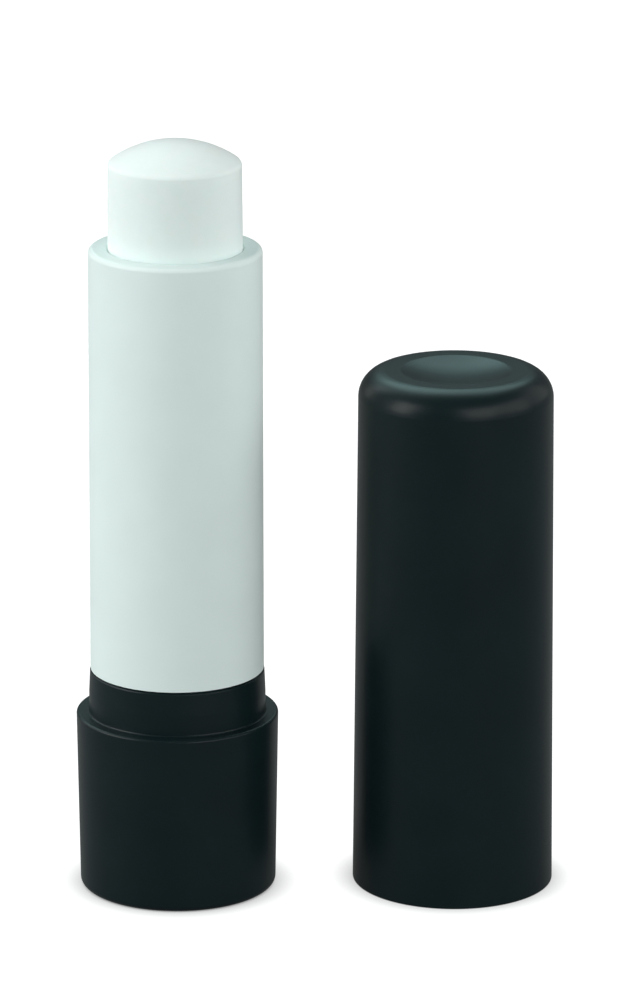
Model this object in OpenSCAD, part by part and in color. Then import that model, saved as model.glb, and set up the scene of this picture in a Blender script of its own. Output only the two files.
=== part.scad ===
// Twist-up lip balm stick, standing open with its cap beside it.
// Origin: centre of the base's flat underside. +Z up, +X towards the cap, +Y to the back.
// Turning the base against the barrel drives a two-start screw, which lifts the balm.

/* [Balm] */
// Diameter of the balm where it fills the barrel
balm_d = 12.44; // [11:0.02:14]
// Height of the balm above its cup
balm_h = 39.9; // [34:0.1:44]
// How far the balm stands out of the barrel
balm_out = 10.1; // [2:0.1:14]
// Height of the drafted tip, below the edge of the dome
tip_h = 7.5; // [4:0.1:12]
// Draft of the tip, taken off its radius
tip_draft = 0.12; // [0.02:0.01:0.4]
// Height of the domed end
dome_h = 2.7; // [2:0.1:4]
// Radius of the edge round the dome
dome_edge_r = 1.4; // [0.4:0.1:1.8]

/* [Barrel] */
// Length of barrel in sight between the collar and the rim
barrel_h = 40.5; // [36:0.1:46]
// Wall of the barrel above the collar
barrel_wall = 1.87; // [1.4:0.01:2.4]
// Draft of the barrel, taken off its radius at the rim
barrel_draft = 0.08; // [0:0.01:0.2]
// Radius of the rim's outer edge
rim_r = 0.45; // [0.1:0.05:0.8]
// Length of the spigot, from the top of the collar to the barrel's foot
spigot_l = 11.3; // [10:0.1:13]
// Wall of the spigot
spigot_wall = 0.95; // [0.8:0.05:1.2]
// How far the snap bead that keeps the barrel in the base stands out
bead_rise = 0.4; // [0.2:0.05:0.6]
// Height of the snap bead
bead_h = 0.7; // [0.5:0.05:1]
// Chamfer at the spigot's foot and inside the rim
barrel_chamfer = 0.15; // [0.05:0.05:0.3]
// Width of the two keyways down the bore
keyway_w = 2.0; // [1.4:0.1:3]
// Depth of the keyways
keyway_depth = 0.4; // [0.25:0.05:0.5]

/* [Base] */
// Height of the base up to its shoulder
base_h = 17.0; // [15.5:0.1:22]
// Draft of the base, taken off its radius at the underside
base_draft = 0.27; // [0:0.01:0.5]
// Wall of the base round its hollow
base_wall = 1.15; // [0.8:0.05:1.6]
// Thickness of the floor
floor_t = 1.4; // [1:0.1:2]
// Thickness of the shoulder
shoulder_t = 1.4; // [1:0.1:2]
// Height of the collar above the shoulder
collar_h = 4.2; // [3:0.1:6]
// How much larger the collar is than the barrel, on the radius
collar_step = 0.15; // [0.05:0.01:0.3]
// Height of the straight land that the cap's mouth seats on
land_h = 2.0; // [1.2:0.1:2.7]
// Draft of the collar above that land, taken off its radius
collar_draft = 0.1; // [0:0.01:0.2]
// Radius of the collar's top edge
collar_edge_r = 0.2; // [0.1:0.02:0.3]
// Radius of the fillet at the collar's root
collar_root_r = 0.15; // [0.1:0.05:0.5]
// Radius of the underside's edge
foot_r = 0.6; // [0.2:0.1:1]
// Radius of the shoulder's edge
shoulder_r = 0.22; // [0.1:0.02:0.5]
// Wall of the socket that takes the screw's foot
socket_wall = 1.2; // [0.8:0.1:1.6]
// Number of ribs that brace the socket
ribs = 4; // [3:1:8]
// Thickness of those ribs
rib_t = 0.9; // [0.6:0.1:1.4]
// Height of those ribs above the floor
rib_h = 3.8; // [2:0.1:5]

/* [Screw] */
// Crest diameter of the screw
screw_d = 4.7; // [4:0.1:5.4]
// Root diameter of the screw
root_d = 3.1; // [2.4:0.1:3.4]
// Rise of the balm in one turn
lead = 4.0; // [3:0.25:6]
// Number of thread starts
starts = 2; // [1:1:3]
// Wax above the screw's tip when the balm is right down
wax_over = 6.9; // [5:0.1:12]
// Height of the screw's conical point
point_h = 1.2; // [0.8:0.1:2]
// Radius of the flat end of the point
point_r = 0.7; // [0.4:0.05:0.9]
// Thickness of the flange that closes the barrel's foot
flange_t = 1.1; // [0.8:0.1:1.5]
// Height of the hub that the cup stops on
hub_h = 2.8; // [1.5:0.1:4]
// How far the hub stands out round the screw
hub_rise = 1.0; // [0.6:0.1:1.6]
// Diameter of the foot that is pressed into the base
foot_d = 4.4; // [3.6:0.1:5]
// Depth of the flat that keys the foot
flat_cut = 0.66; // [0.3:0.02:1]

/* [Elevator] */
// Height of the cup that holds the balm
cup_h = 8.0; // [7:0.1:10]
// Wall of the cup
cup_wall = 0.75; // [0.5:0.05:1.2]
// Floor of the cup
cup_floor = 1.2; // [0.8:0.1:1.6]
// Height of the nut inside the cup
nut_h = 6.0; // [4.5:0.1:7]
// Wall of the nut
nut_wall = 0.9; // [0.6:0.05:1.3]
// Length of thread that the nut still holds when the balm is right up
nut_hold = 5.0; // [3:0.1:6]
// Number of fins that hold the wax
fins = 4; // [2:1:6]
// Thickness of the fins
fin_t = 0.8; // [0.5:0.1:1.2]
// How far the fins end below the cup's edge
fin_below = 1.6; // [1:0.1:3]
// Length of the keys that stop the cup turning
key_l = 5.0; // [3:0.1:6]

/* [Cap] */
// Wall of the cap at its mouth
cap_wall = 1.07; // [0.8:0.01:1.5]
// Thickness of the cap's top
cap_top = 1.9; // [1.6:0.1:2.5]
// Draft of the cap, taken off its outer radius at the top
cap_draft = 0.38; // [0:0.01:0.6]
// Draft of the cap's inside, taken off its radius at the top
cap_in_draft = 0.15; // [0:0.01:0.2]
// Radius of the cap's top edge
cap_edge_r = 2.55; // [1:0.05:3]
// Radius of the corner inside the top
cap_in_edge_r = 1.5; // [0.5:0.1:2]
// Radius of the mouth's outer edge
mouth_edge_r = 0.15; // [0.05:0.05:0.3]
// Chamfer that leads the mouth onto the collar
lead_in = 0.35; // [0.1:0.05:0.5]
// Height over which the mouth opens out into the cap
mouth_ramp = 0.3; // [0.2:0.1:0.6]
// Depth of the dish in the cap's top
dish_h = 0.8; // [0.3:0.05:1]
// Radius of the dish's hollow
dish_sphere_r = 17; // [14:0.5:24]
// Radius of the dish's lip
dish_lip_r = 0.8; // [0.3:0.1:1.2]
// Number of slim ribs inside the cap that grip the barrel
grips = 6; // [3:1:8]
// Width of those ribs
grip_w = 0.8; // [0.5:0.1:1.2]
// Length of those ribs
grip_l = 12; // [6:0.5:20]
// Room above the barrel's rim in the closed cap
cap_headroom = 3.1; // [2:0.1:6]

/* [Where the cap stands] */
// To the right of the stick
cap_x = 26.0; // [22:0.1:60]
// Behind the stick
cap_y = 1.3; // [-10:0.1:10]

/* [Fits] */
// Balm in the bore of the barrel, on the radius
bore_gap = 0.05; // [0.04:0.01:0.2]
// Barrel turning in the collar, on the radius
run_gap = 0.08; // [0.03:0.01:0.1]
// Barrel above the collar, and under its snap bead
seat_gap = 0.12; // [0.05:0.01:0.3]
// Parts that stop against each other at the end of their travel
stop_gap = 0.2; // [0.1:0.05:0.4]
// Cup in the bore, on the radius, and its keys in their keyways on each side
slide_gap = 0.13; // [0.08:0.01:0.2]
// Nut round the screw, on the radius
thread_gap = 0.18; // [0.15:0.01:0.25]
// Nut beside the flanks of the thread, measured round the screw
flank_gap = 0.2; // [0.15:0.01:0.3]
// Balm round the screw, on the radius
wax_gap = 0.15; // [0.08:0.01:0.3]
// Balm in its cup, as cast
cast_gap = 0.04; // [0.02:0.01:0.1]
// Screw's foot in its socket, on the radius
press_gap = 0.03; // [0.02:0.01:0.06]
// Cap over the collar, on the radius
cap_gap = 0.1; // [0.05:0.01:0.15]
// Cap's straight mouth past the top of the collar
mouth_over = 0.2; // [0.1:0.05:0.5]
// Cap's inside over the barrel, on the radius
cap_clear = 0.2; // [0.15:0.01:0.3]
// Cap's grip ribs over the barrel, on the radius
grip_gap = 0.06; // [0.03:0.01:0.1]
// Cap over the base's shoulder, how far the cap's side lies inside it
flush_gap = 0.03; // [0:0.01:0.1]

/* [Hidden] */
$fn = 96;

BLACK = "#1b2628";
WHITE = "#e3ebe9";
MILK = "#f1f3ee";
WAX = "#eef4f1";

// How far cuts run past what they cut, and how far joined shapes run into each other
over = 1;
sunk = 0.3;
// Rounded corners: what is cut away runs a little past the corner's sides, and the arc is a hair
// larger than its radius, so that it crosses them
web_past = 0.1;
web_r = 1.0005;

// Radii, from the balm outwards
balm_r = balm_d / 2;
bore_r = balm_r + bore_gap;
barrel_r = bore_r + barrel_wall;
spigot_r = bore_r + spigot_wall;
bead_r = spigot_r + bead_rise;
collar_bore_r = spigot_r + run_gap;
collar_r = barrel_r + collar_step;
mouth_r = collar_r + cap_gap;
cap_r = mouth_r + cap_wall;
base_r = cap_r + flush_gap;

// Heights at rest, from the surface up
collar_z = base_h + collar_h;
seat_z = collar_z + seat_gap;
rim_z = seat_z + barrel_h;
apex_z = rim_z + balm_out;
cup_z = apex_z - balm_h - cup_h;
shoulder_in_z = base_h - shoulder_t;
bead_z = shoulder_in_z - seat_gap;
spigot_z = seat_z - spigot_l;
flange_z = spigot_z - stop_gap - flange_t;
hub_z = flange_z + flange_t + hub_h;

// Screw: its tip stays inside the wax when the cup stands on the hub
screw_r = screw_d / 2;
root_r = root_d / 2;
hub_r = screw_r + hub_rise;
screw_top_z = hub_z + stop_gap + cup_h + balm_h - wax_over;
thread_top_z = screw_top_z - point_h;
socket_r = foot_d / 2 + press_gap;

// Nut and cup: the keyways end where the nut still holds enough of the thread
nut_bore_r = screw_r + thread_gap;
nut_r = nut_bore_r + nut_wall;
cup_r = bore_r - slide_gap;
cup_in_r = cup_r - cup_wall;
fin_top = cup_h - fin_below;
keyway_r = bore_r + keyway_depth;
key_r = keyway_r - slide_gap;
key_w = keyway_w - 2 * slide_gap;
keyway_top_z = thread_top_z - nut_hold + key_l + stop_gap;
wax_bore_z = screw_top_z + cup_z - hub_z;

// One start of the thread: the shares of its turn that the root and each flank take
start_deg = 360 / starts;
root_share = 0.35;
flank_share = 0.2;
flank_gap_deg = 360 * flank_gap / (PI * (screw_r + root_r));
arc_step_deg = 32;
slices_a_turn = 16;

// Cap
cap_in_z = rim_z - base_h + cap_headroom;
cap_h = cap_in_z + cap_top;
cap_in_r = barrel_r + cap_clear;
mouth_h = collar_h + mouth_over;
grip_r = barrel_r + grip_gap;

function unit(v) = v / norm(v);

// What lies between an arc and the corner of its tangents, which leave it in two directions.
// Cut away it rounds a corner, and added it fills one.
module arc_web(c, r, to_a, to_b) {
    reach = r + web_past;
    difference() {
        polygon([c, c + reach * to_a, c + reach * (to_a + to_b) / (1 + to_a * to_b), c + reach * to_b]);
        translate(c) circle(r * web_r);
    }
}

// The same for the corner p between the points a and b
module corner_web(a, p, b, r) {
    u = unit(a - p);
    v = unit(b - p);
    half = acos(u * v) / 2;
    c = p + unit(u + v) * r / sin(half);
    foot = r / tan(half);
    arc_web(c, r, unit(p + u * foot - c), unit(p + v * foot - c));
}

// Outline of the screw across its axis or, with the nut's radii and gap, of the hole in the nut
function thread_points(root, crest, widen) = [
    for (s = [0 : starts - 1])
        for (land = [
            [0, root_share, root, widen],
            [root_share + flank_share, 1 - flank_share, crest, -widen]
        ])
            let (
                from = start_deg * (s + land[0]) + land[3],
                to = start_deg * (s + land[1]) - land[3],
                steps = ceil((to - from) / arc_step_deg)
            )
            for (i = [0 : steps])
                let (at = from + (to - from) * i / steps)
                land[2] * [cos(at), sin(at)]
];

// A left-hand thread between two heights, always in step with the same helix
module thread(from_z, to_z, root, crest, widen) {
    turn = 360 / lead;
    h = to_z - from_z;
    translate([0, 0, from_z]) rotate(-turn * from_z)
        linear_extrude(height = h, twist = turn * h, slices = ceil(slices_a_turn * h / lead), $fn = 0)
            polygon(thread_points(root, crest, widen));
}

// Turn knob: a drafted cup with a shoulder for the cap and a collar that the barrel turns in
module base_shell() {
    foot = [base_r - base_draft, 0];
    shoulder = [base_r, base_h];
    collar_root = [collar_r, base_h];
    land = [collar_r, base_h + land_h];
    collar_top = [collar_r - collar_draft, collar_z];
    hollow_r = foot[0] - base_wall;
    color(BLACK) difference() {
        union() {
            difference() {
                rotate_extrude() {
                    difference() {
                        polygon([[0, 0], foot, shoulder, collar_root, land, collar_top, [0, collar_z]]);
                        corner_web([0, 0], foot, shoulder, foot_r);
                        corner_web(foot, shoulder, collar_root, shoulder_r);
                        corner_web(land, collar_top, [0, collar_z], collar_edge_r);
                    }
                    corner_web(shoulder, collar_root, land, collar_root_r);
                }
                rotate_extrude() polygon([
                    [0, floor_t], [hollow_r, floor_t], [base_r - base_wall, shoulder_in_z],
                    [collar_bore_r, shoulder_in_z], [collar_bore_r, collar_z + over], [0, collar_z + over]
                ]);
            }
            translate([0, 0, floor_t - sunk]) {
                cylinder(r = socket_r + socket_wall, h = flange_z - floor_t + sunk);
                for (i = [0 : ribs - 1])
                    rotate(i * 360 / ribs) translate([socket_r + sunk, -rib_t / 2, 0])
                        cube([hollow_r - socket_r, rib_t, rib_h + sunk]);
            }
        }
        translate([0, 0, floor_t]) foot_solid(socket_r, flange_z);
    }
}

// Round with one flat, so that the screw turns with the base
module foot_solid(r, h) {
    difference() {
        cylinder(r = r, h = h);
        translate([r - flat_cut, -r, -over]) cube([2 * r, 2 * r, h + 2 * over]);
    }
}

// Screw, with a keyed foot, the flange that closes the barrel and the hub that the cup stops on
module spindle() {
    foot_z = floor_t + stop_gap;
    color(MILK) {
        translate([0, 0, foot_z]) foot_solid(foot_d / 2, flange_z - foot_z + sunk);
        translate([0, 0, flange_z]) cylinder(r = spigot_r, h = flange_t);
        translate([0, 0, flange_z + sunk]) cylinder(r = hub_r, h = hub_z - flange_z - sunk);
        thread(hub_z - sunk, thread_top_z, root_r, screw_r, 0);
        translate([0, 0, thread_top_z - point_h])
            cylinder(r1 = 0.9 * root_r, r2 = point_r, h = 2 * point_h);
    }
}

// Tube that guides the balm: its spigot turns in the collar, and its keyways keep the cup from turning
module barrel() {
    rim = [barrel_r - barrel_draft, rim_z];
    rim_in = [bore_r, rim_z];
    keyway_h = keyway_top_z - spigot_z + over;
    color(WHITE) difference() {
        rotate_extrude() difference() {
            polygon([
                [bore_r, spigot_z], [spigot_r - barrel_chamfer, spigot_z],
                [spigot_r, spigot_z + barrel_chamfer], [spigot_r, bead_z - bead_h],
                [bead_r, bead_z - bead_h / 2], [bead_r, bead_z], [spigot_r, bead_z],
                [spigot_r, seat_z], [barrel_r, seat_z], rim,
                rim_in + [barrel_chamfer, 0], rim_in - [0, barrel_chamfer]
            ]);
            corner_web([barrel_r, seat_z], rim, rim_in, rim_r);
        }
        translate([0, 0, spigot_z - over]) intersection() {
            cylinder(r = keyway_r, h = keyway_h);
            translate([-keyway_r, -keyway_w / 2, 0]) cube([2 * keyway_r, keyway_w, keyway_h]);
        }
    }
}

// The fins between the nut and the cup, or the slots that they leave in the wax
module fin_set(t, r_to, from_z, to_z) {
    from_r = nut_r - sunk;
    for (i = [0 : fins - 1])
        rotate((i + 0.5) * 360 / fins) translate([from_r, -t / 2, from_z])
            cube([r_to - from_r, t, to_z - from_z]);
}

// Cone that opens the foot of the nut, past the feather edge of its thread
module nut_mouth() {
    open_r = nut_bore_r + sunk;
    translate([0, 0, -sunk]) cylinder(r1 = open_r + sunk, r2 = root_r, h = open_r + sunk - root_r);
}

// Cup that carries the balm: nut in the middle, fins in the wax, and two keys outside
module elevator() {
    color(MILK) translate([0, 0, cup_z]) difference() {
        union() {
            rotate_extrude() polygon([
                [0, 0], [cup_r, 0], [cup_r, cup_h], [cup_in_r, cup_h], [cup_in_r, cup_floor],
                [nut_r, cup_floor], [nut_r, nut_h], [0, nut_h]
            ]);
            fin_set(fin_t, cup_in_r + sunk, cup_floor - sunk, fin_top);
            difference() {
                intersection() {
                    cylinder(r = key_r, h = key_l);
                    translate([-key_r, -key_w / 2, 0]) cube([2 * key_r, key_w, key_l]);
                }
                translate([0, 0, -over]) cylinder(r = cup_in_r + sunk, h = key_l + 2 * over);
            }
        }
        translate([0, 0, -cup_z])
            thread(cup_z - over, cup_z + nut_h + over, root_r + thread_gap, nut_bore_r, flank_gap_deg);
        nut_mouth();
        translate([0, 0, nut_h]) mirror([0, 0, 1]) nut_mouth();
    }
}

// Wax, cast into the cup and round the screw, with a drafted and domed end
module balm() {
    tip_r = balm_r - tip_draft;
    edge_c = [tip_r - dome_edge_r, apex_z - dome_h];
    dome_r = (edge_c[0] * edge_c[0] + dome_h * dome_h - dome_edge_r * dome_edge_r)
        / (2 * (dome_h - dome_edge_r));
    dome_c = [0, apex_z - dome_r];
    draft_end_r = tip_r - tip_draft * (dome_h + over) / tip_h;
    cup_top_z = cup_z + cup_h + cast_gap;
    wax_in_r = cup_in_r - cast_gap;
    wax_z = cup_z + cup_floor + cast_gap;
    from_z = wax_z - over;
    nut_top_z = cup_z + nut_h + cast_gap;
    color(WAX) difference() {
        rotate_extrude() difference() {
            intersection() {
                polygon([
                    [0, wax_z], [wax_in_r, wax_z], [wax_in_r, cup_top_z], [balm_r, cup_top_z],
                    [balm_r, edge_c[1] - tip_h], [draft_end_r, apex_z + over], [0, apex_z + over]
                ]);
                union() {
                    translate(dome_c) circle(dome_r);
                    square([balm_d, edge_c[1]]);
                }
            }
            arc_web(edge_c, dome_edge_r, [1, 0], unit(edge_c - dome_c));
        }
        translate([0, 0, from_z]) cylinder(r = screw_r + wax_gap, h = wax_bore_z - from_z);
        translate([0, 0, from_z]) cylinder(r = nut_r + cast_gap, h = nut_top_z - from_z);
        fin_set(fin_t + 2 * cast_gap, cup_r, from_z, cup_z + fin_top + cast_gap);
    }
}

// Cap: one drafted moulding, dished on top, with a straight land in its mouth
module cap() {
    mouth = [cap_r, 0];
    top = [cap_r - cap_draft, cap_h];
    top_c = [0, cap_h];
    ramp = [cap_in_r, mouth_h + mouth_ramp];
    in_top = [cap_in_r - cap_in_draft, cap_in_z];
    in_top_c = [0, cap_in_z];
    dish_c = [0, cap_h - dish_h + dish_sphere_r];
    lip_reach = dish_sphere_r + dish_lip_r;
    lip_c = [sqrt(pow(lip_reach, 2) - pow(lip_reach - dish_h, 2)), cap_h - dish_lip_r];
    color(BLACK) translate([cap_x, cap_y, 0]) {
        difference() {
            rotate_extrude() difference() {
                polygon([[0, 0], mouth, top, top_c]);
                corner_web([0, 0], mouth, top, mouth_edge_r);
                corner_web(mouth, top, top_c, cap_edge_r);
                translate(dish_c) circle(dish_sphere_r);
                arc_web(lip_c, dish_lip_r, [0, 1], unit(dish_c - lip_c));
            }
            rotate_extrude() difference() {
                polygon([
                    [0, -over], [mouth_r + lead_in + over, -over], [mouth_r, lead_in], [mouth_r, mouth_h],
                    ramp, in_top, in_top_c
                ]);
                corner_web(ramp, in_top, in_top_c, cap_in_edge_r);
            }
        }
        for (i = [0 : grips - 1])
            rotate((i + 0.5) * 360 / grips) translate([grip_r, -grip_w / 2, ramp[1] + mouth_ramp])
                cube([cap_in_r - grip_r + sunk, grip_w, grip_l]);
    }
}

base_shell();
spindle();
barrel();
elevator();
balm();
cap();
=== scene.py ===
"""Lip balm stick, open, with its cap beside it: the finish of every piece, the cast wax and a studio.

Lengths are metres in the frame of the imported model: its origin is under the stick, +Z is up and +X
points to the cap. Finishes read Object coordinates.
"""

import math

import bpy
from bpy.props import FloatProperty, FloatVectorProperty, IntProperty, PointerProperty
from mathutils import Matrix, Vector


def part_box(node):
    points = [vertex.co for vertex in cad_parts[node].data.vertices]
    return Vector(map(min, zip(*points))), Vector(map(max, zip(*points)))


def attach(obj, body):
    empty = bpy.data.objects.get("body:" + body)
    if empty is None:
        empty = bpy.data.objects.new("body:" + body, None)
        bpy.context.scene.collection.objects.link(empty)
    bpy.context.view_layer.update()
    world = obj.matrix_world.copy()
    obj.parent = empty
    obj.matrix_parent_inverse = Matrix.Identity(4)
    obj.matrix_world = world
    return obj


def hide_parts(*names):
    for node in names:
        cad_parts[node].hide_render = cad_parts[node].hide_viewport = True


bl_info = {
    "name": "Lip Balm Stick",
    "version": (1, 0, 0),
    "blender": (4, 5, 0),
    "location": "View3D > Sidebar > Lip Balm",
    "description": "Finishes a twist-up lip balm stick and its cap, and sets up a studio round them",
    "category": "Object",
}

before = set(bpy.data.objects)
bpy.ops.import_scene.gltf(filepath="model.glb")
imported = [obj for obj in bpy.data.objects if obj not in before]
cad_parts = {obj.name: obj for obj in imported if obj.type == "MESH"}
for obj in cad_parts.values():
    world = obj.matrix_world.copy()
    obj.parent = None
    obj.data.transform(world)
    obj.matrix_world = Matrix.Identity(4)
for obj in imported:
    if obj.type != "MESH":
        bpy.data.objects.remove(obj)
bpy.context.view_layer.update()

MM = 0.001
MERGE = MM / 1000
SMOOTH_ANGLE = math.radians(35)
FLOOR_SIZE = 8
WHITE = (1, 1, 1, 1)
# In the units of the lens, which are millimetres
SENSOR_WIDTH = 36

# Each softbox: its name, degrees round from the camera, degrees up, width in metres, watts
SOFTBOXES = (
    ("left", -75, 22, 0.5, 4.5),
    ("left_behind", -120, 22, 0.5, 1.0),
    ("right_front", 30, 22, 0.5, 2.6),
    ("right", 75, 22, 0.5, 1.7),
    ("right_behind", 120, 22, 0.5, 0.6),
    ("high_behind", 180, 60, 0.6, 0.7),
    ("high_left", -125, 55, 0.6, 0.5),
)
# The same for the reflectors, which show only as a gleam on smooth surfaces
REFLECTORS = (
    ("gleam_behind", 180, 50, 0.5, 1.9),
    ("gleam_left", -150, 45, 0.5, 0.9),
)


def shade(red, green, blue):
    """Scene linear colour of a display colour from 0 to 255, by the sRGB curve."""
    def linear(value):
        value /= 255
        return value / 12.92 if value <= 0.04045 else ((value + 0.055) / 1.055) ** 2.4
    return linear(red), linear(green), linear(blue)


def colour(name, description, default):
    return FloatVectorProperty(
        name=name, description=description, subtype="COLOR", size=3, min=0, max=1, default=default
    )


def length(name, description, default):
    return FloatProperty(
        name=name, description=description, subtype="DISTANCE", unit="LENGTH", min=0, default=default
    )


def share(name, description, default):
    return FloatProperty(
        name=name, description=description, subtype="FACTOR", min=0, max=1, default=default
    )


def count(name, description, default, least=2):
    return IntProperty(name=name, description=description, min=least, default=default)


def times(name, description, default):
    return FloatProperty(name=name, description=description, min=1, default=default)


class ShellSettings(bpy.types.PropertyGroup):
    """Satin black of the base and the cap"""
    tint: colour("Colour", "Colour of the black plastic", (0.0042, 0.0108, 0.0120))
    bloom_tint: colour("Bloom", "Colour of the paler bloom on it", (0.0050, 0.0130, 0.0144))
    bloom: length("Bloom size", "Size of the patches of bloom", 7 * MM)
    roughness: share("Roughness", "Roughness of the satin surface", 0.34)
    unevenness: share("Unevenness", "How far the roughness strays to either side", 0.04)
    gloss: share("Gloss", "Strength of the mirrored light", 0.15)
    grain: length("Grain", "Size of the fine moulded grain", 0.14 * MM)
    grain_depth: length("Grain depth", "Depth of the moulded grain", 0.001 * MM)


class BarrelSettings(bpy.types.PropertyGroup):
    """Satin white of the barrel"""
    tint: colour("Colour", "Colour of the white plastic", shade(222, 237, 234))
    contrast: times("Contrast", "How much paler the marks of the flow are", 1.03)
    flow: length("Flow marks", "Size of the faint marks of the moulding's flow", 6 * MM)
    roughness: share("Roughness", "Roughness of the satin surface", 0.38)
    unevenness: share("Unevenness", "How far the roughness strays to either side", 0.03)
    gloss: share("Gloss", "Strength of the mirrored light", 0.15)
    grain: length("Grain", "Size of the fine moulded grain", 0.25 * MM)
    grain_depth: length("Grain depth", "Depth of the moulded grain", 0.002 * MM)


class WaxSettings(bpy.types.PropertyGroup):
    """Cast wax of the balm"""
    tint: colour("Colour", "Colour of the wax", shade(230, 243, 240))
    contrast: times("Contrast", "How much paler the mottling is", 1.02)
    mottle: length("Mottling", "Size of the faint mottling", 1.6 * MM)
    mottle_depth: length("Mottling depth", "Depth of the mottling in the surface", 0.008 * MM)
    roughness: share("Roughness", "Roughness of the wax", 0.42)
    unevenness: share("Unevenness", "How far the roughness strays to either side", 0.06)
    gloss: share("Gloss", "Strength of the mirrored light", 0.05)
    grain: length("Grain", "Size of the fine grain", 0.3 * MM)
    grain_depth: length("Grain depth", "Depth of the fine grain", 0.003 * MM)
    lit_inside: share("Light inside", "How much of the light goes in and comes out again", 0.6)
    depth: length("Light depth", "How far light travels inside the wax", 0.9 * MM)
    depth_tint: colour("Light depth by colour", "Share of that depth for each colour", (1, 0.85, 0.8))
    waviness: length("Waviness", "How far the cast surface strays from its mould", 0.02 * MM)
    fill: length("Fill", "How much wider the wax is than the plain balm, on its radius", 0.025 * MM)
    wave: length("Wave", "Size of the surface's waves", 5 * MM)
    tip: length("Tip", "Height of the drafted tip below the dome's edge", 7.5 * MM)
    draft: length("Draft", "How much narrower the tip is at the dome's edge, on its radius", 0.06 * MM)
    dome: length("Dome", "Height of the domed end", 2.35 * MM)
    edge: length("Edge", "Radius of the edge round the dome", 0.6 * MM)
    neck: length("Neck", "Radius of the wax inside the cup", 5.35 * MM)
    neck_length: length("Neck length", "Height of the wax inside the cup", 6.8 * MM)
    nut_recess: length("Nut recess", "Radius of the recess round the nut", 3.47 * MM)
    nut_recess_length: length("Nut recess length", "Height of the recess round the nut", 4.8 * MM)
    screw_bore: length("Screw bore", "Radius of the bore round the screw", 2.5 * MM)
    cover: length("Cover", "Wax over the end of the screw bore", 6.7 * MM)
    fins: count("Fins", "Number of slots for the cup's fins", 4)
    fin_slot: length("Fin slot", "Width of a fin's slot", 0.88 * MM)
    fin_height: length("Fin height", "Height of a fin's slot", 5.2 * MM)
    segments: count("Segments", "Steps in one turn", 192, least=32)
    edge_steps: count("Edge steps", "Steps in the edge round the dome", 14)
    dome_steps: count("Dome steps", "Steps from the edge to the top of the dome", 24)
    wave_steps: count("Wave steps", "Rows in one wave of the surface", 8)


class MechanismSettings(bpy.types.PropertyGroup):
    """Milky natural plastic of the screw and the cup"""
    tint: colour("Colour", "Colour of the natural plastic", shade(238, 241, 236))
    contrast: times("Contrast", "How much paler the clouds in it are", 1.03)
    cloud: length("Clouds", "Size of the faint clouds in the plastic", 2.5 * MM)
    roughness: share("Roughness", "Roughness of the moulded surface", 0.33)
    unevenness: share("Unevenness", "How far the roughness strays to either side", 0.04)
    grain: length("Grain", "Size of the fine moulded grain", 0.2 * MM)
    grain_depth: length("Grain depth", "Depth of the moulded grain", 0.002 * MM)
    lit_inside: share("Light inside", "How much of the light goes in and comes out again", 0.5)
    depth: length("Light depth", "How far light travels inside the plastic", 0.6 * MM)
    depth_tint: colour("Light depth by colour", "Share of that depth for each colour", (1, 1, 0.95))


class StudioSettings(bpy.types.PropertyGroup):
    """Camera, floor and light"""
    aim: FloatVectorProperty(
        name="Aim", description="Point that the camera looks at", subtype="TRANSLATION",
        unit="LENGTH", default=(13.423 * MM, 1.374 * MM, 37.152 * MM),
    )
    distance: length("Distance", "From the camera to the point it looks at", 600.94 * MM)
    pitch: FloatProperty(
        name="Pitch", description="How far the camera looks down", subtype="ANGLE",
        unit="ROTATION", default=math.radians(16.65),
    )
    roll: FloatProperty(
        name="Roll", description="Turn of the camera round its own axis", subtype="ANGLE",
        unit="ROTATION", default=math.radians(0.104),
    )
    lens: FloatProperty(name="Lens", description="Focal length", unit="CAMERA", default=231.6)
    floor_tint: colour("Floor", "Colour of the floor", shade(125, 129, 129))
    floor_roughness: share("Floor roughness", "Roughness of the floor", 0.9)
    floor_glow: share("Floor glow", "White that the camera sees on top of the floor's colour", 1.0)
    mirrored: share("Mirrored", "Strength of the floor's glow and the background seen mirrored", 0.13)
    reflector_tint: colour("Reflectors", "Colour of the reflectors", (0.6, 1.0, 1.0))
    # The shade round a foot is painted: the floor's glow is dimmed where the occlusion is high
    contact: length("Contact", "How far the shade round a foot reaches", 2.6 * MM)
    contact_shade: share("Contact shade", "How much of the glow is lost at a foot", 0.85)
    ambient: share("Ambient", "Strength of the light from all round", 0.02)
    stand_off: length("Stand-off", "From the object to each softbox", 0.7)


def select_only(piece):
    bpy.ops.object.select_all(action="DESELECT")
    piece.select_set(True)
    bpy.context.view_layer.objects.active = piece


def apply(piece, modifier):
    """Applies a modifier of a piece to its mesh."""
    select_only(piece)
    bpy.ops.object.modifier_apply(modifier=modifier.name)


def turned_shell(name, outline, segments):
    """A closed shell turned round the Z axis from the radii and heights of its outline."""
    bpy.ops.object.select_all(action="DESELECT")
    # Merged to one vertex, the plane is the start of the outline
    bpy.ops.mesh.primitive_plane_add(size=MM, location=(0, 0, 0))
    piece = bpy.context.object
    piece.name = name
    bpy.ops.object.mode_set(mode="EDIT")
    bpy.ops.mesh.merge(type="CENTER")
    at = Vector((outline[0][0], 0, outline[0][1]))
    bpy.ops.transform.translate(value=at)
    for radius, height in outline[1:]:
        to = Vector((radius, 0, height))
        bpy.ops.mesh.extrude_region_move(TRANSFORM_OT_translate={"value": to - at})
        at = to
    bpy.ops.mesh.select_all(action="SELECT")
    bpy.ops.mesh.spin(steps=segments, angle=math.tau, center=(0, 0, 0), axis=(0, 0, 1))
    bpy.ops.mesh.select_all(action="SELECT")
    bpy.ops.mesh.remove_doubles(threshold=MERGE)
    bpy.ops.mesh.normals_make_consistent(inside=False)
    bpy.ops.object.mode_set(mode="OBJECT")
    return piece


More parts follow.
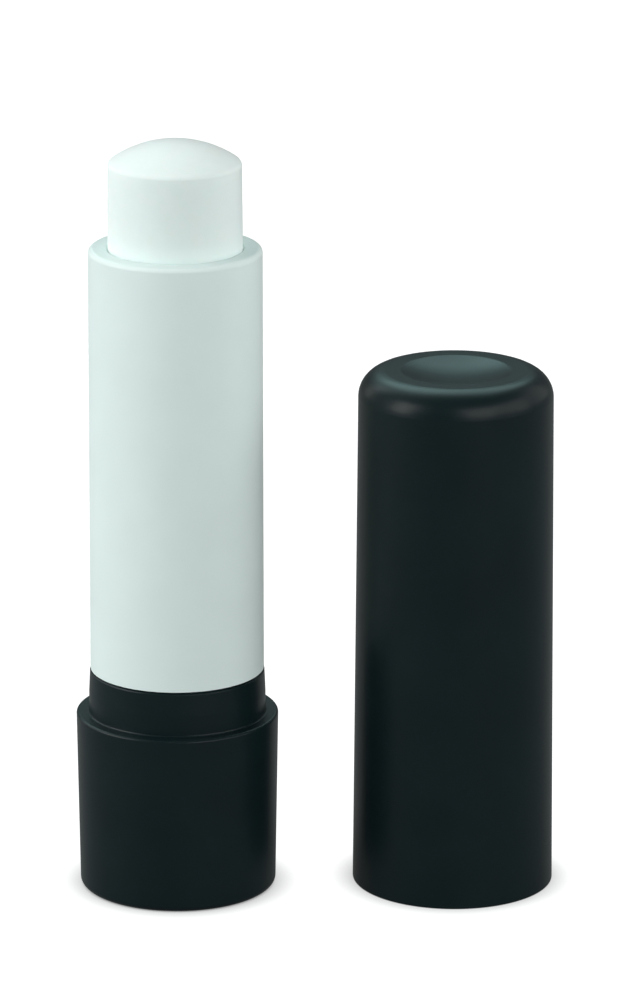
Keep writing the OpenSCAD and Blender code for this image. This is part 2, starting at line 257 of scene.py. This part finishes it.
def cut_away(piece, tool):
    """Cuts a tool's shape out of a piece and removes the tool."""
    cut = piece.modifiers.new("Cut", "BOOLEAN")
    cut.operation = "DIFFERENCE"
    cut.solver = "EXACT"
    cut.object = tool
    apply(piece, cut)
    bpy.data.objects.remove(tool)


def cast_unevenly(piece, size, depth):
    """Lets the surface of a cast piece sink by up to a depth, in soft waves of a size."""
    clouds = bpy.data.textures.new("casting", "CLOUDS")
    clouds.noise_scale = size
    sink = piece.modifiers.new("Casting", "DISPLACE")
    sink.texture = clouds
    sink.texture_coords = "LOCAL"
    sink.mid_level = 1
    sink.strength = depth
    apply(piece, sink)


def stepped(start, end, most):
    """Heights between two heights, no further apart than the most."""
    steps = max(1, math.ceil(abs(end - start) / most))
    return [start + (end - start) * step / steps for step in range(1, steps + 1)]


def arc(centre, radius, start, end, steps):
    """Points on an arc, past its first, as radii and heights."""
    angles = [start + (end - start) * step / steps for step in range(1, steps + 1)]
    return [(centre[0] + radius * math.cos(a), centre[1] + radius * math.sin(a)) for a in angles]


def wax_outline(wax, radius, foot, apex):
    """Outline of the wax from the end of its screw bore, down inside and up outside to the apex."""
    tip_radius = radius - wax.draft
    edge_centre = (tip_radius - wax.edge, apex - wax.dome)
    # At this radius the dome runs into its edge without a crease
    dome_radius = (edge_centre[0] ** 2 + wax.dome ** 2 - wax.edge ** 2) / (2 * (wax.dome - wax.edge))
    dome_centre = (0, apex - dome_radius)
    turn = math.atan2(edge_centre[1] - dome_centre[1], edge_centre[0])
    bore_end = apex - wax.cover
    nut_top = foot + wax.nut_recess_length
    cup_top = foot + wax.neck_length
    tip_foot = edge_centre[1] - wax.tip
    row = wax.wave / wax.wave_steps
    points = [(0, bore_end), (wax.screw_bore, bore_end), (wax.screw_bore, nut_top)]
    points += [(wax.nut_recess, nut_top), (wax.nut_recess, foot), (wax.neck, foot)]
    points += [(wax.neck, cup_top), (radius, cup_top)]
    points += [(radius, height) for height in stepped(cup_top, tip_foot, row)]
    for height in stepped(tip_foot, edge_centre[1], row):
        rise = (height - tip_foot) / wax.tip
        points.append((radius - wax.draft * rise, height))
    points += arc(edge_centre, wax.edge, 0, turn, wax.edge_steps)
    points += arc(dome_centre, dome_radius, turn, math.pi / 2, wax.dome_steps)
    return points


def fin_slots(wax, foot):
    """The cup's fins as a tool: a bar for each fin, which cuts out past the neck and the foot."""
    below, beyond = MM, MM / 2
    reach = wax.neck + beyond
    height = wax.fin_height + below
    middle = ((reach + wax.screw_bore) / 2, 0, foot - below + height / 2)
    bpy.ops.object.select_all(action="DESELECT")
    bpy.ops.mesh.primitive_cube_add(size=1, location=middle)
    tool = bpy.context.object
    tool.scale = (reach - wax.screw_bore, wax.fin_slot, height)
    bpy.ops.object.transform_apply(location=True, rotation=True, scale=True)
    bpy.ops.object.mode_set(mode="EDIT")
    bpy.ops.mesh.select_all(action="SELECT")
    # The fins are evenly spaced, so it doesn't matter which way this turns them
    bpy.ops.transform.rotate(
        value=-math.pi / wax.fins, orient_axis="Z", center_override=(0, 0, 0)
    )
    bpy.ops.mesh.spin(
        steps=wax.fins, angle=math.tau, dupli=True, center=(0, 0, 0), axis=(0, 0, 1)
    )
    bpy.ops.mesh.select_all(action="SELECT")
    bpy.ops.mesh.remove_doubles(threshold=MERGE)
    bpy.ops.object.mode_set(mode="OBJECT")
    return tool


def new_finish(name):
    """A material with its shader and the Object coordinates that its patterns read."""
    finish = bpy.data.materials.new(name)
    finish.use_nodes = True
    shader = finish.node_tree.nodes["Principled BSDF"]
    place = finish.node_tree.nodes.new("ShaderNodeTexCoord")
    return finish, finish.node_tree, shader, place.outputs["Object"]


def noise(tree, place, size, detail=2.0, roughness=0.5):
    """Noise whose features are about the size given."""
    node = tree.nodes.new("ShaderNodeTexNoise")
    node.inputs["Scale"].default_value = 1 / size
    node.inputs["Detail"].default_value = detail
    node.inputs["Roughness"].default_value = roughness
    tree.links.new(place, node.inputs["Vector"])
    return node.outputs["Fac"]


def ramp(tree, factor, low, high):
    """Blend of two colours along a noise, whose values mostly lie from 0.3 to 0.7."""
    node = tree.nodes.new("ShaderNodeValToRGB")
    first, last = node.color_ramp.elements
    first.position, last.position = 0.3, 0.7
    first.color, last.color = (*low, 1), (*high, 1)
    tree.links.new(factor, node.inputs["Fac"])
    return node.outputs["Color"]


def spread(tree, factor, low, high):
    """A factor from 0 to 1 carried over to a range of values."""
    node = tree.nodes.new("ShaderNodeMapRange")
    node.inputs["To Min"].default_value = low
    node.inputs["To Max"].default_value = high
    tree.links.new(factor, node.inputs["Value"])
    return node.outputs["Result"]


def bump(tree, height, distance, under=None):
    """Normals of a surface that rises by up to a distance, over those of another bump if given."""
    node = tree.nodes.new("ShaderNodeBump")
    node.inputs["Distance"].default_value = distance
    tree.links.new(height, node.inputs["Height"])
    if under:
        tree.links.new(under, node.inputs["Normal"])
    return node.outputs["Normal"]


def calculate(tree, operation, first, second):
    """Result of one sum on a socket and on another socket or a number."""
    node = tree.nodes.new("ShaderNodeMath")
    node.operation = operation
    tree.links.new(first, node.inputs[0])
    if isinstance(second, bpy.types.NodeSocket):
        tree.links.new(second, node.inputs[1])
    else:
        node.inputs[1].default_value = second
    return node.outputs[0]


def rays(tree, *kinds):
    """1 for rays of the kinds named and 0 for others."""
    path = tree.nodes.new("ShaderNodeLightPath")
    total = path.outputs[kinds[0]]
    for kind in kinds[1:]:
        total = calculate(tree, "MAXIMUM", total, path.outputs[kind])
    return total


def vary(tree, shader, factor, colours, settings):
    """Lets the colour and the roughness of a surface stray a little along a factor."""
    tree.links.new(ramp(tree, factor, *colours), shader.inputs["Base Color"])
    least = settings.roughness - settings.unevenness
    most = settings.roughness + settings.unevenness
    tree.links.new(spread(tree, factor, least, most), shader.inputs["Roughness"])


def let_light_in(shader, settings):
    """Lets light into a milky surface and out again."""
    shader.inputs["Subsurface Weight"].default_value = settings.lit_inside
    shader.inputs["Subsurface Radius"].default_value = settings.depth_tint
    shader.inputs["Subsurface Scale"].default_value = settings.depth


def two_shades(settings):
    """The colour of a surface and a paler one, no channel of which passes 1."""
    return settings.tint, [min(1, channel * settings.contrast) for channel in settings.tint]


def black_finish(shell):
    """Satin black: a fine grain, a faint bloom and little gloss."""
    finish, tree, shader, place = new_finish("satin_black")
    bloom = noise(tree, place, shell.bloom, detail=3)
    vary(tree, shader, bloom, (shell.tint, shell.bloom_tint), shell)
    grain = bump(tree, noise(tree, place, shell.grain), shell.grain_depth)
    tree.links.new(grain, shader.inputs["Normal"])
    shader.inputs["Specular IOR Level"].default_value = shell.gloss
    return finish


def white_finish(barrel):
    """Satin white plastic with faint marks of its flow in the mould."""
    finish, tree, shader, place = new_finish("satin_white")
    vary(tree, shader, noise(tree, place, barrel.flow), two_shades(barrel), barrel)
    grain = bump(tree, noise(tree, place, barrel.grain), barrel.grain_depth)
    tree.links.new(grain, shader.inputs["Normal"])
    shader.inputs["Specular IOR Level"].default_value = barrel.gloss
    return finish


def wax_finish(wax):
    """Cast wax: light goes in and comes out again, and the surface is faintly mottled."""
    finish, tree, shader, place = new_finish("cast_wax")
    mottle = noise(tree, place, wax.mottle, detail=4, roughness=0.6)
    vary(tree, shader, mottle, two_shades(wax), wax)
    grain = bump(tree, noise(tree, place, wax.grain, detail=3), wax.grain_depth)
    tree.links.new(bump(tree, mottle, wax.mottle_depth, under=grain), shader.inputs["Normal"])
    shader.inputs["Specular IOR Level"].default_value = wax.gloss
    let_light_in(shader, wax)
    return finish


def milky_finish(plastic):
    """Natural plastic that lets a little light through."""
    finish, tree, shader, place = new_finish("milky_plastic")
    vary(tree, shader, noise(tree, place, plastic.cloud), two_shades(plastic), plastic)
    grain = bump(tree, noise(tree, place, plastic.grain), plastic.grain_depth)
    tree.links.new(grain, shader.inputs["Normal"])
    let_light_in(shader, plastic)
    return finish


def put_on(finish, *nodes):
    """Gives CAD nodes a finish in place of their plain one."""
    for name in nodes:
        for material_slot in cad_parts[name].material_slots:
            material_slot.material = finish


class LIPBALM_OT_black_shells(bpy.types.Operator):
    """Finish the base and the cap in satin black"""
    bl_idname = "lipbalm.black_shells"
    bl_label = "Black Shells"

    def execute(self, context):
        put_on(black_finish(context.scene.balm_shell), "base_shell", "cap")
        return {"FINISHED"}


class LIPBALM_OT_white_barrel(bpy.types.Operator):
    """Finish the barrel in satin white"""
    bl_idname = "lipbalm.white_barrel"
    bl_label = "White Barrel"

    def execute(self, context):
        put_on(white_finish(context.scene.balm_barrel), "barrel")
        return {"FINISHED"}


class LIPBALM_OT_mechanism(bpy.types.Operator):
    """Finish the screw and the cup in milky plastic"""
    bl_idname = "lipbalm.mechanism"
    bl_label = "Screw and Cup"

    def execute(self, context):
        put_on(milky_finish(context.scene.balm_mechanism), "spindle", "elevator")
        return {"FINISHED"}


class LIPBALM_OT_wax(bpy.types.Operator):
    """Cast the wax in the place of the plain balm"""
    bl_idname = "lipbalm.wax"
    bl_label = "Cast Wax"

    def execute(self, context):
        wax = context.scene.balm_wax
        low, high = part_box("balm")
        outline = wax_outline(wax, high[0] + wax.fill, low[2], high[2])
        piece = turned_shell("cast_wax", outline, wax.segments)
        cast_unevenly(piece, wax.wave, wax.waviness)
        cut_away(piece, fin_slots(wax, low[2]))
        piece.data.materials.append(wax_finish(wax))
        select_only(piece)
        bpy.ops.object.shade_smooth_by_angle(angle=SMOOTH_ANGLE)
        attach(piece, "carrier")
        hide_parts("balm")
        return {"FINISHED"}


def floor_finish(studio):
    """Plain floor that the camera sees as white, with a narrow painted shade round each foot, where
    occlusion dims its glow.
    """
    finish, tree, shader, _ = new_finish("pale_floor")
    shader.inputs["Base Color"].default_value = (*studio.floor_tint, 1)
    shader.inputs["Roughness"].default_value = studio.floor_roughness
    shader.inputs["Specular IOR Level"].default_value = 0
    # Painted shade: the glow that the camera sees is dimmed by the occlusion near each foot
    foot = tree.nodes.new("ShaderNodeAmbientOcclusion")
    foot.inputs["Distance"].default_value = studio.contact
    shaded = studio.floor_glow * (1 - studio.contact_shade)
    seen = spread(tree, foot.outputs["AO"], shaded, studio.floor_glow)
    seen = calculate(tree, "MULTIPLY", rays(tree, "Is Camera Ray", "Is Transmission Ray"), seen)
    mirrored = calculate(tree, "MULTIPLY", rays(tree, "Is Glossy Ray"), studio.mirrored)
    glow = tree.nodes.new("ShaderNodeEmission")
    tree.links.new(calculate(tree, "ADD", seen, mirrored), glow.inputs["Strength"])
    both = tree.nodes.new("ShaderNodeAddShader")
    tree.links.new(shader.outputs[0], both.inputs[0])
    tree.links.new(glow.outputs[0], both.inputs[1])
    tree.links.new(both.outputs[0], tree.nodes["Material Output"].inputs["Surface"])
    return finish


def softbox(studio, name, round_angle, up_angle, size, power):
    """A square lamp that faces the object, placed by its angles round from the camera and up."""
    data = bpy.data.lights.new(name, "AREA")
    data.shape = "SQUARE"
    data.size = size
    data.energy = power
    lamp = bpy.data.objects.new(name, data)
    bpy.context.collection.objects.link(lamp)
    round_angle = math.radians(round_angle)
    up_angle = math.radians(up_angle)
    flat = math.cos(up_angle)
    away = Vector((math.sin(round_angle) * flat, -math.cos(round_angle) * flat, math.sin(up_angle)))
    lamp.location = Vector(studio.aim) + away * studio.stand_off
    lamp.rotation_euler = away.to_track_quat("Z", "Y").to_euler()
    return lamp


def lay_floor(studio):
    bpy.ops.object.select_all(action="DESELECT")
    bpy.ops.mesh.primitive_plane_add(size=FLOOR_SIZE, location=(0, 0, 0))
    ground = bpy.context.object
    ground.name = "floor"
    ground.data.materials.append(floor_finish(studio))


def studio_world(studio):
    """Faint light from all round, behind a white that the camera sees and smooth surfaces mirror."""
    world = bpy.data.worlds.new("studio_world")
    world.use_nodes = True
    tree = world.node_tree
    light = tree.nodes["Background"]
    light.inputs["Color"].default_value = WHITE
    light.inputs["Strength"].default_value = studio.ambient
    white = tree.nodes.new("ShaderNodeBackground")
    white.inputs["Color"].default_value = WHITE
    seen = rays(tree, "Is Camera Ray", "Is Transmission Ray")
    mirrored = calculate(tree, "MULTIPLY", rays(tree, "Is Glossy Ray"), studio.mirrored)
    tree.links.new(calculate(tree, "MAXIMUM", seen, mirrored), white.inputs["Strength"])
    chosen = tree.nodes.new("ShaderNodeMixShader")
    background = rays(tree, "Is Camera Ray", "Is Glossy Ray", "Is Transmission Ray")
    tree.links.new(background, chosen.inputs["Fac"])
    tree.links.new(light.outputs[0], chosen.inputs[1])
    tree.links.new(white.outputs[0], chosen.inputs[2])
    tree.links.new(chosen.outputs[0], tree.nodes["World Output"].inputs["Surface"])
    return world


def place_lamps(studio):
    for lamp_settings in SOFTBOXES:
        softbox(studio, *lamp_settings)
    for lamp_settings in REFLECTORS:
        reflector = softbox(studio, *lamp_settings)
        reflector.data.color = studio.reflector_tint
        reflector.visible_diffuse = False


def place_camera(studio):
    """The camera of the photo, turned to its aim."""
    data = bpy.data.cameras.new("camera")
    data.sensor_width = SENSOR_WIDTH
    data.lens = studio.lens
    camera = bpy.data.objects.new("camera", data)
    bpy.context.collection.objects.link(camera)
    back = Vector((0, -math.cos(studio.pitch), math.sin(studio.pitch)))
    turn = Matrix.Rotation(math.pi / 2 - studio.pitch, 4, "X") @ Matrix.Rotation(studio.roll, 4, "Z")
    camera.matrix_world = Matrix.Translation(Vector(studio.aim) + back * studio.distance) @ turn
    return camera


class LIPBALM_OT_studio(bpy.types.Operator):
    """Set up the floor, the light and the camera"""
    bl_idname = "lipbalm.studio"
    bl_label = "Studio"

    def execute(self, context):
        scene = context.scene
        lay_floor(scene.balm_studio)
        scene.world = studio_world(scene.balm_studio)
        place_lamps(scene.balm_studio)
        scene.camera = place_camera(scene.balm_studio)
        scene.view_settings.view_transform = "Standard"
        return {"FINISHED"}


class LIPBALM_PT_panel(bpy.types.Panel):
    """The steps that finish the lip balm stick"""
    bl_label = "Lip Balm Stick"
    bl_idname = "LIPBALM_PT_panel"
    bl_space_type = "VIEW_3D"
    bl_region_type = "UI"
    bl_category = "Lip Balm"

    def draw(self, context):
        for step in STEPS:
            self.layout.operator(step.bl_idname)


SETTINGS = {
    "balm_shell": ShellSettings,
    "balm_barrel": BarrelSettings,
    "balm_wax": WaxSettings,
    "balm_mechanism": MechanismSettings,
    "balm_studio": StudioSettings,
}
STEPS = (
    LIPBALM_OT_black_shells,
    LIPBALM_OT_white_barrel,
    LIPBALM_OT_mechanism,
    LIPBALM_OT_wax,
    LIPBALM_OT_studio,
)


def register():
    for cls in (*SETTINGS.values(), *STEPS, LIPBALM_PT_panel):
        bpy.utils.register_class(cls)
    for name, settings in SETTINGS.items():
        setattr(bpy.types.Scene, name, PointerProperty(type=settings))


def unregister():
    for name in SETTINGS:
        delattr(bpy.types.Scene, name)
    for cls in reversed((*SETTINGS.values(), *STEPS, LIPBALM_PT_panel)):
        bpy.utils.unregister_class(cls)


def main():
    register()
    bpy.ops.lipbalm.black_shells()
    bpy.ops.lipbalm.white_barrel()
    bpy.ops.lipbalm.mechanism()
    bpy.ops.lipbalm.wax()
    bpy.ops.lipbalm.studio()


if __name__ == "__main__":
    main()
